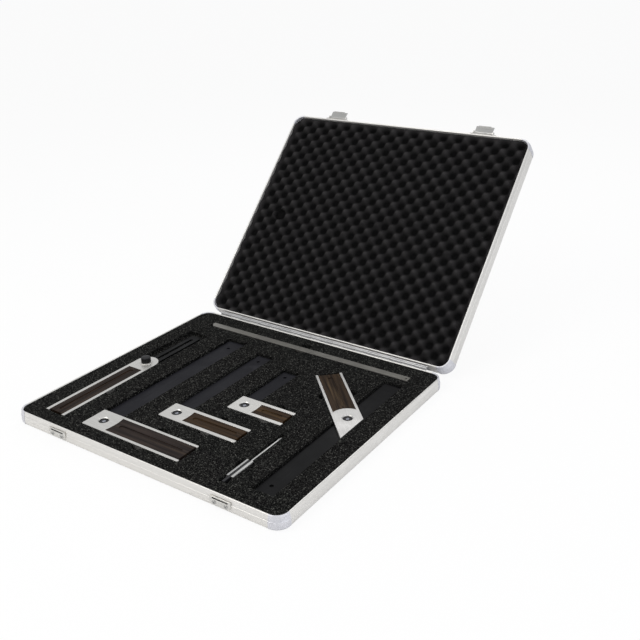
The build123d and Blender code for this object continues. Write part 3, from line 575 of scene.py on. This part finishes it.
# %% [markdown]
# A case frame is an aluminium extrusion: one section pushed through a die and cut to length. We draw the
# section once, in millimetres, as a loop of points: a round foot, a straight wall, a shoulder, a rolled lip
# at the rim and a ledge that holds the panel. Then we extrude it for a side and spin it a quarter turn for
# a corner, which stands a little proud of the sides. The lid's section is the same, only taller. The lid's
# frame is modelled like the base's, laid upside down on the rim and then swung open, so its front and back
# change places.

# %% The frame section
foot_radius = 5
shoulder_drop = 7.0
lip_radius = 1.15
lip_middle = 2.65
lip_start = 1.5
wall_inside = 3.8
ledge_end = 9
ledge_top = 3.2
ledge_under = 1.6
corner_proud = 0.35
joint_gap = 0.05 * mm


def section_points(height, proud):
    """Points round the extrusion: distance inward from the widest face, and height."""
    shoulder = height - shoulder_drop
    points = []
    for step in range(9):
        turn = radians(90 * step / 8)
        inward = foot_radius - (foot_radius + proud) * sin(turn)
        points.append((inward, foot_radius - foot_radius * cos(turn)))
    points += [(-proud, shoulder - 0.9), (0.25 - proud, shoulder - 0.65), (0.3 - proud, shoulder - 0.3)]
    points += [(0.55 - proud, shoulder), (lip_start - proud, height - 1.1)]
    for step in range(7):
        turn = radians(180 - 180 * step / 6)
        inward = lip_middle - proud / 2 + (lip_radius + proud / 2) * cos(turn)
        points.append((inward, height - lip_radius + lip_radius * sin(turn)))
    points += [(wall_inside, ledge_top), (ledge_end, ledge_top)]
    points += [(ledge_end, ledge_under), (foot_radius, ledge_under)]
    return [(inward * mm, up * mm) for inward, up in points]


def section_loop(bm, height, proud, place):
    """Vertices and edges of one section, each point put in place by a function."""
    loop = [bm.verts.new(place(inward, up)) for inward, up in section_points(height, proud)]
    edges = [bm.edges.new((loop[number - 1], loop[number])) for number in range(len(loop))]
    return loop, edges


def rail(height, half_length):
    """A straight piece along Y with its widest face on x = 0, its middle at y = 0."""
    bm = bmesh.new()
    loop, edges = section_loop(bm, height, 0, lambda inward, up: (inward, -half_length, up))
    bm.faces.new(loop)
    pushed = bmesh.ops.extrude_edge_only(bm, edges=edges)
    new_verts = [item for item in pushed["geom"] if isinstance(item, bmesh.types.BMVert)]
    bmesh.ops.translate(bm, vec=(0, 2 * half_length, 0), verts=new_verts)
    bmesh.ops.holes_fill(bm, edges=bm.edges, sides=0)
    return bm


def casting_corner(height, radius):
    """A quarter turn of the section about the corner's centre at the origin, facing -x and -y."""
    bm = bmesh.new()
    loop, edges = section_loop(bm, height, corner_proud, lambda inward, up: (inward - radius, 0, up))
    bmesh.ops.spin(bm, geom=edges, cent=(0, 0, 0), axis=(0, 0, 1), dvec=(0, 0, 0), angle=pi / 2, steps=20)
    bmesh.ops.holes_fill(bm, edges=bm.edges, sides=0)
    return bm


def turned(bm, angle, x, y, over):
    """Turn a frame piece about Z and move it, then lay the lid's upside down at a height and open it."""
    place = Matrix.Translation((x, y, 0)) @ Matrix.Rotation(radians(angle), 4, "Z")
    if over is not None:
        place = to_open @ Matrix.Translation((0, 0, over)) @ Matrix.Rotation(pi, 4, "X") @ place
    bmesh.ops.transform(bm, matrix=place, verts=bm.verts)
    return bm


def build_frame(half, height, over, names):
    """Four rails and four corners of one case half."""
    in_x = right_x - corner_size
    in_y = back_y - corner_size
    plan = [
        (names["left"], rail(height, in_y - joint_gap), 0, -right_x, 0, rail_along_y),
        (names["right"], rail(height, in_y - joint_gap), 180, right_x, 0, rail_along_y),
        (names["front"], rail(height, in_x - joint_gap), 90, 0, -back_y, rail_along_x),
        (names["back"], rail(height, in_x - joint_gap), -90, 0, back_y, rail_along_x),
        (names["front_left"], casting_corner(height, corner_size), 0, -in_x, -in_y, casting.material),
        (names["front_right"], casting_corner(height, corner_size), 90, in_x, -in_y, casting.material),
        (names["back_right"], casting_corner(height, corner_size), 180, in_x, in_y, casting.material),
        (names["back_left"], casting_corner(height, corner_size), 270, -in_x, in_y, casting.material),
    ]
    for label, bm, angle, x, y, material in plan:
        node = f"{half}_{label}"
        finish_piece(f"{node}_metal", turned(bm, angle, x, y, over), material, [node])


corners = ("front_left", "front_right", "back_right", "back_left")
base_names = {side: f"frame_{side}" for side in ("left", "right", "front", "back")}
base_names.update({corner: f"corner_{corner}" for corner in corners})
lid_names = dict(base_names)
lid_names.update({"front": "frame_back", "back": "frame_front"})
lid_names.update({"front_left": "corner_back_left", "back_left": "corner_front_left"})
lid_names.update({"front_right": "corner_back_right", "back_right": "corner_front_right"})
build_frame("base", (rim_z - base_low) / mm, None, base_names)
build_frame("lid", (lid_top_z - lid_rim_z) / mm, lid_top_z, lid_names)
print("two frames of four rails and four corners")

# %% [markdown]
# The foam tray is cut with a knife press, so its pockets have plumb walls and slightly rounded lips. Its
# CAD solid already has every pocket, so we weld a copy and soften its edges.

# %% Foam tray
tray = finish_piece("foam_tray", welded("base_foam"), tray_foam.material, ["base_foam"])
soften(tray, 0.7 * mm, angle=40)
print("tray faces", len(tray.data.polygons))

# %% [markdown]
# The lid's lining is egg-crate foam. It is sliced by a blade while shaped rollers squeeze it, which leaves
# waves. A product of two cosines over a fine grid gives the same rows of pits. They fade towards the
# border, the outer edge rolls off, and a round dent shows where the bevel's knob presses in when the lid is
# shut. The grid's square corners are drawn in to the frame's round ones.

# %% Egg-crate lining
pitch = 26.3 * mm
pit_depth = 10.5 * mm
pit_power = 0.8
dent_radius = 11.5 * mm
dent_slope = 3 * mm
dent_depth = 10.6 * mm
fade_reach = 9 * mm
fade_start = 0.3
roll_reach = 2.0 * mm
roll_depth = 0.6 * mm
full_shade_depth = 8.0 * mm
rim_wall = 1.5 * mm
first_from_wall = 14.0 * mm
first_from_hinge = 286.3 * mm
corner_inside = 13.9 * mm

lining_low, lining_high = closed_box("lid_foam")
first_x = first_from_wall + left_x + rim_wall
first_y = hinge_point.y - first_from_hinge
knob_low, knob_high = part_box("sliding_bevel_knob")
knob_middle = (knob_low + knob_high) / 2


def egg_height(x, y):
    """How deep the lining's surface lies behind its peaks at a place, in metres."""
    wave = cos(2 * pi * (x - first_x) / pitch) * cos(2 * pi * (y - first_y) / pitch)
    pit = 0.5 + 0.5 * wave
    depth = pit_depth * pit ** pit_power
    away = sqrt((x - knob_middle.x) ** 2 + (y - knob_middle.y) ** 2)
    dent = max(0.0, min(1.0, (dent_radius - away) / dent_slope))
    depth = max(depth, dent_depth * dent * dent * (3 - 2 * dent))
    edge = min(x - lining_low.x, lining_high.x - x, y - lining_low.y, lining_high.y - y)
    fade = min(1.0, fade_start + edge / fade_reach)
    roll_off = max(0.0, 1 - edge / roll_reach)
    return max(depth * fade, roll_depth * roll_off ** 2)


columns = 250
rows = 216
lining = bmesh.new()
bmesh.ops.create_grid(lining, x_segments=columns, y_segments=rows, size=0.5)
size_x = lining_high.x - lining_low.x
size_y = lining_high.y - lining_low.y
centre_x = (lining_low.x + lining_high.x) / 2
centre_y = (lining_low.y + lining_high.y) / 2
for vertex in lining.verts:
    x = centre_x + vertex.co.x * size_x
    y = centre_y + vertex.co.y * size_y
    out_x = abs(x - centre_x) - (size_x / 2 - corner_inside)
    out_y = abs(y - centre_y) - (size_y / 2 - corner_inside)
    if out_x > 0 and out_y > 0:
        reach = max(out_x, out_y) / sqrt(out_x ** 2 + out_y ** 2)
        x = centre_x + (size_x / 2 - corner_inside + out_x * reach) * (1 if x > centre_x else -1)
        y = centre_y + (size_y / 2 - corner_inside + out_y * reach) * (1 if y > centre_y else -1)
    vertex.co = (x, y, lining_low.z + egg_height(x, y))
border = [edge for edge in lining.edges if edge.is_boundary]
walls = bmesh.ops.extrude_edge_only(lining, edges=border)
for item in walls["geom"]:
    if isinstance(item, bmesh.types.BMVert):
        item.co.z = lining_high.z
bmesh.ops.holes_fill(lining, edges=[edge for edge in lining.edges if edge.is_boundary], sides=0)
# The pit attribute, from 0 at the peaks to 1 deep down, sets how much painted shade the lining gets.
pit_layer = lining.verts.layers.float.new("pit")
for vertex in lining.verts:
    vertex[pit_layer] = min(1.0, max(0.0, (vertex.co.z - lining_low.z) / full_shade_depth))
bmesh.ops.transform(lining, matrix=to_open, verts=lining.verts)
egg_crate = finish_piece("egg_crate_lining", lining, egg_foam.material, ["lid_foam"], crisp=60)
print("lining faces", len(egg_crate.data.polygons))

# %% [markdown]
# A stock is a steel body with a wooden infill let into it. In the photograph two things differ a little
# from the solids: the steel rails beside the wood are thinner, and on the try squares the steel's bulge
# round the stud is shallower. So the walls of the seam are moved outwards, in the steel and in the wood
# alike, and the try squares' arc is flattened. A machinist breaks every sharp edge with a file, which is
# what the fine bevel does here: it gives each edge the thin highlight that makes metal look solid.

# %% Thin rails round the wood
wood_arc = 21.0 * mm
arc_before = 0.5 * mm
arc_after = 0.6 * mm
arc_kept = 0.3
seam_before = 0.06 * mm
seam_after = 0.3 * mm


def middle_of(node):
    """The middle of a CAD node's box."""
    low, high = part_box(node)
    return (low + high) / 2


def across_place(point, middle, across):
    """How far a point lies from the stock's centre line."""
    return (point - middle).dot(across)


def spread(bm, middle, across, inner, shift):
    """Move the walls that lie at a distance from the centre line outwards, so that the rails get thinner."""
    moved = 0
    for vertex in bm.verts:
        away = across_place(vertex.co, middle, across)
        if inner - seam_before < abs(away) < inner + seam_after:
            vertex.co += across * (shift if away > 0 else -shift)
            moved += 1
    return moved


def flatten_arc(bm, hub, across):
    """Flatten the arc that lies round a hub, so that the head's bulge into the wood is shallow."""
    along = Vector((0, 0, 1)).cross(across)
    moved = 0
    for vertex in bm.verts:
        offset = vertex.co - hub
        u = offset.dot(along)
        v = offset.dot(across)
        away = sqrt(u * u + v * v)
        if wood_arc - arc_before < away < wood_arc + arc_after:
            full = away if u > 0 else -away
            vertex.co += along * (full - u) * (1 - arc_kept)
            moved += 1
    return moved


def stock_and_wood(tool, across, steel, wood, shift=0.6 * mm, hub=None):
    """A stock and its infill with the seam between them moved towards the rails' edges."""
    across = Vector(across).normalized()
    middle = middle_of(f"{tool}_infill")
    wood_mesh = welded(f"{tool}_infill")
    steel_mesh = welded(f"{tool}_stock")
    meshes = (wood_mesh, steel_mesh)
    inner = max(abs(across_place(vertex.co, middle, across)) for vertex in wood_mesh.verts)
    if hub is not None:
        print(tool, "arc points", [flatten_arc(mesh, hub, across) for mesh in meshes])
    print(tool, "seam points", [spread(mesh, middle, across, inner, shift) for mesh in meshes])
    soften(finish_piece(f"{tool}_stock_skin", steel_mesh, steel, [f"{tool}_stock"]), plain_edge)
    soften(finish_piece(f"{tool}_infill_skin", wood_mesh, wood, [f"{tool}_infill"]), plain_edge)


print("the arc round a stud has a radius of", round(wood_arc / mm, 1), "mm and keeps", arc_kept, "of its rise")

# %% [markdown]
# A blade stud is turned on a lathe: a domed pin in a ringed recess. We draw half of its outline, as radius
# and height in millimetres from the stock's top face, and spin it a full turn, which makes it truly round
# from a few points. The floor of the recess lies in shade, so it is a separate dark ring.

# %% Blade studs
stud_profile = [(0, -0.62), (0.8, -0.66), (1.5, -0.82), (2.1, -1.1), (2.5, -1.42), (2.6, -1.7), (2.6, -8.3)]
stud_profile += [(2.5, -8.58), (2.1, -8.9), (1.5, -9.18), (0.8, -9.34), (0, -9.38)]
floor_profile = [(2.65, -1.66), (6.15, -1.66), (6.2, -1.0), (6.23, -1.0)]
floor_profile += [(6.23, -1.69), (2.65, -1.69), (2.65, -1.66)]


def spun(outline, place):
    """Spin an outline of radius and height pairs a full turn about a vertical axis."""
    bm = bmesh.new()
    points = [bm.verts.new((place.x + out * mm, place.y, place.z + up * mm)) for out, up in outline]
    edges = [bm.edges.new(pair) for pair in zip(points, points[1:])]
    bmesh.ops.spin(
        bm,
        geom=points + edges,
        cent=place,
        axis=(0, 0, 1),
        dvec=(0, 0, 0),
        angle=2 * pi,
        steps=48,
        use_merge=True,
    )
    bmesh.ops.remove_doubles(bm, verts=bm.verts, dist=1e-6)
    return bm


def blade_stud(tool):
    """A domed pin and the dark floor of its upper recess."""
    place = middle_of(f"{tool}_stud")
    place.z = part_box(f"{tool}_stock")[1].z
    finish_piece(f"{tool}_stud_pin", spun(stud_profile, place), dome_steel, [f"{tool}_stud"])
    finish_piece(f"{tool}_stud_floor", spun(floor_profile, place), painted_shade.material, [f"{tool}_stud"])


print("stud outline points", len(stud_profile), "and", len(floor_profile))

# %% [markdown]
# The bevel's locking knob is a low black wheel, moulded or turned, with a knurled edge for the fingers. A
# disc with many corners is the simplest start: every other corner is drawn in, which makes the ridges real
# geometry, and the top edge is rounded over.

# %% Knurled knob
ridges = 28
knob_wider = 0.6 * mm
knob_lower = 3.6 * mm
groove_depth = 0.5 * mm
top_round = 0.9 * mm


def locking_knob():
    """A knurled wheel with a rounded top edge on the washer."""
    washer_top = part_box("sliding_bevel_washer")[1].z
    radius = (knob_high.x - knob_low.x) / 2 + knob_wider
    height = knob_high.z - washer_top - knob_lower
    bm = bmesh.new()
    made = bmesh.ops.create_circle(bm, cap_ends=True, segments=ridges * 2, radius=radius)
    for number, vertex in enumerate(made["verts"]):
        if number % 2:
            vertex.co *= 1 - groove_depth / radius
    walls = bmesh.ops.extrude_face_region(bm, geom=list(bm.faces))
    top_verts = [item for item in walls["geom"] if isinstance(item, bmesh.types.BMVert)]
    bmesh.ops.translate(bm, vec=(0, 0, height), verts=top_verts)
    top_edges = [edge for edge in bm.edges if all(vertex in top_verts for vertex in edge.verts)]
    bmesh.ops.bevel(
        bm,
        geom=top_edges,
        offset=top_round,
        segments=3,
        profile=0.5,
        affect="EDGES",
        material=-1,
        clamp_overlap=True,
    )
    bmesh.ops.translate(bm, vec=(knob_middle.x, knob_middle.y, washer_top), verts=bm.verts)
    finish_piece("locking_knob", bm, black_plastic.material, ["sliding_bevel_knob"], crisp=50)


print("knob with", ridges, "ridges")

# %% [markdown]
# Now every tool gets its pieces. The three try squares are alike but for size and wood, so one loop makes
# them. The mitre square keeps the arc of its solid. The bevel's stock runs along Y, and its seam moves a
# little less. Blades and ruler are ground flat. They and the knife keep their CAD shapes and only get a
# fine edge.

# %% Tools
square_woods = {"large_square": wood_dark, "medium_square": wood_along_x, "small_square": wood_along_x}
for tool, wood in square_woods.items():
    stock_and_wood(tool, (0, 1, 0), stock_steel, wood, hub=middle_of(f"{tool}_stud"))
    dressed(f"{tool}_blade", blade_steel)
    blade_stud(tool)
stock_and_wood("mitre_square", (-1, 1, 0), mitre_steel, wood_diagonal)
dressed("mitre_square_blade", mitre_blade_steel)
blade_stud("mitre_square")
stock_and_wood("sliding_bevel", (1, 0, 0), bevel_steel, wood_along_y, shift=0.4 * mm)
dressed("sliding_bevel_blade", mitre_blade_steel)
dressed("sliding_bevel_washer", bevel_steel, thin_edge)
locking_knob()
dressed("straightedge", ruler_steel, 0.25 * mm)
dressed("marking_knife_blade", knife_steel, thin_edge)
dressed("marking_knife_handle", knife_steel)
# The knife's core is painted shade: the shadowed gap between the handle's cheeks, in the near-black finish.
dressed("marking_knife_core", painted_shade.material)
print("tools dressed")

# %% [markdown]
# The hinge, latches and strike plates are small pressed parts with a bright finish. A piano hinge is rolled
# from two strips round one pin. We draw its knuckles in a little towards the pin, so that a dark line shows
# beside them. A strike plate has a slot for the lever's hook, which a thin dark slab shows as shade. A
# lever is bent from one strip: its end lip is made shorter here, as in the photograph, and its inner side
# is dull.

# %% Hardware and panels
knuckle_from = 1.9 * mm
knuckle_to = 2.3 * mm
knuckle_share = 0.78
slot_size = (23.6 * mm, 0.25 * mm, 3.2 * mm)
slot_proud = 0.14 * mm
slot_drop = 6.2 * mm
lip_from = 12.0 * mm
lip_cut_mm = 4.2


def hinge_leaf(node):
    """A hinge leaf whose knuckles are drawn in towards the pin."""
    leaf = welded(node)
    for vertex in leaf.verts:
        off_y = vertex.co.y - hinge_point.y
        off_z = vertex.co.z - hinge_point.z
        away = sqrt(off_y ** 2 + off_z ** 2)
        if knuckle_from < away < knuckle_to:
            vertex.co.y = hinge_point.y + off_y * knuckle_share
            vertex.co.z = hinge_point.z + off_z * knuckle_share
    soften(finish_piece(f"{node}_skin", leaf, hinge_metal, [node]), sheet_edge)


def dark_slot(side):
    """The shade in a strike plate's slot, as a thin dark slab."""
    middle = middle_of(f"strike_plate_{side}")
    bm = bmesh.new()
    bmesh.ops.create_cube(bm, size=1)
    bmesh.ops.scale(bm, vec=slot_size, verts=bm.verts)
    bmesh.ops.translate(bm, vec=(middle.x, front_y - slot_proud, rim_z - slot_drop), verts=bm.verts)
    finish_piece(f"strike_slot_{side}", bm, painted_shade.material, [f"strike_plate_{side}"])


def lever(side):
    """A latch lever with a shorter end lip, bright outside and dull on its inner side."""
    node = f"latch_lever_{side}"
    bm = welded(node)
    pin = Vector(joints[f"{node}_hinge"]["pos_m"])
    out_way = swing @ Vector((0, -1, 0))
    for vertex in bm.verts:
        away = (vertex.co - pin).dot(out_way)
        if away > lip_from:
            vertex.co -= out_way * lip_cut_mm * mm
    piece = finish_piece(f"{node}_skin", bm, nickel.material, [node])
    piece.data.materials.append(knife_steel)
    inner_way = swing @ Vector((0, 0, -1))
    for face in piece.data.polygons:
        if face.normal.dot(inner_way) > 0.5:
            face.material_index = 1
    soften(piece, plain_edge)


dressed("base_panel", panel_metal)
dressed("lid_panel", panel_metal)
hinge_leaf("base_hinge_leaf")
hinge_leaf("lid_hinge_leaf")
dressed("hinge_pin", hinge_metal, sheet_edge)
for rivets in ("base_hinge_rivets", "lid_hinge_rivets", "latch_rivets"):
    dressed(rivets, nickel.material, sheet_edge)
dressed("latch_pins", nickel.material, thin_edge)
dressed("strike_screws", knife_steel, sheet_edge)
for side in ("left", "right"):
    dressed(f"strike_plate_{side}", stock_steel)
    dark_slot(side)
    dressed(f"latch_bracket_{side}", stock_steel)
    lever(side)
print("hardware dressed")
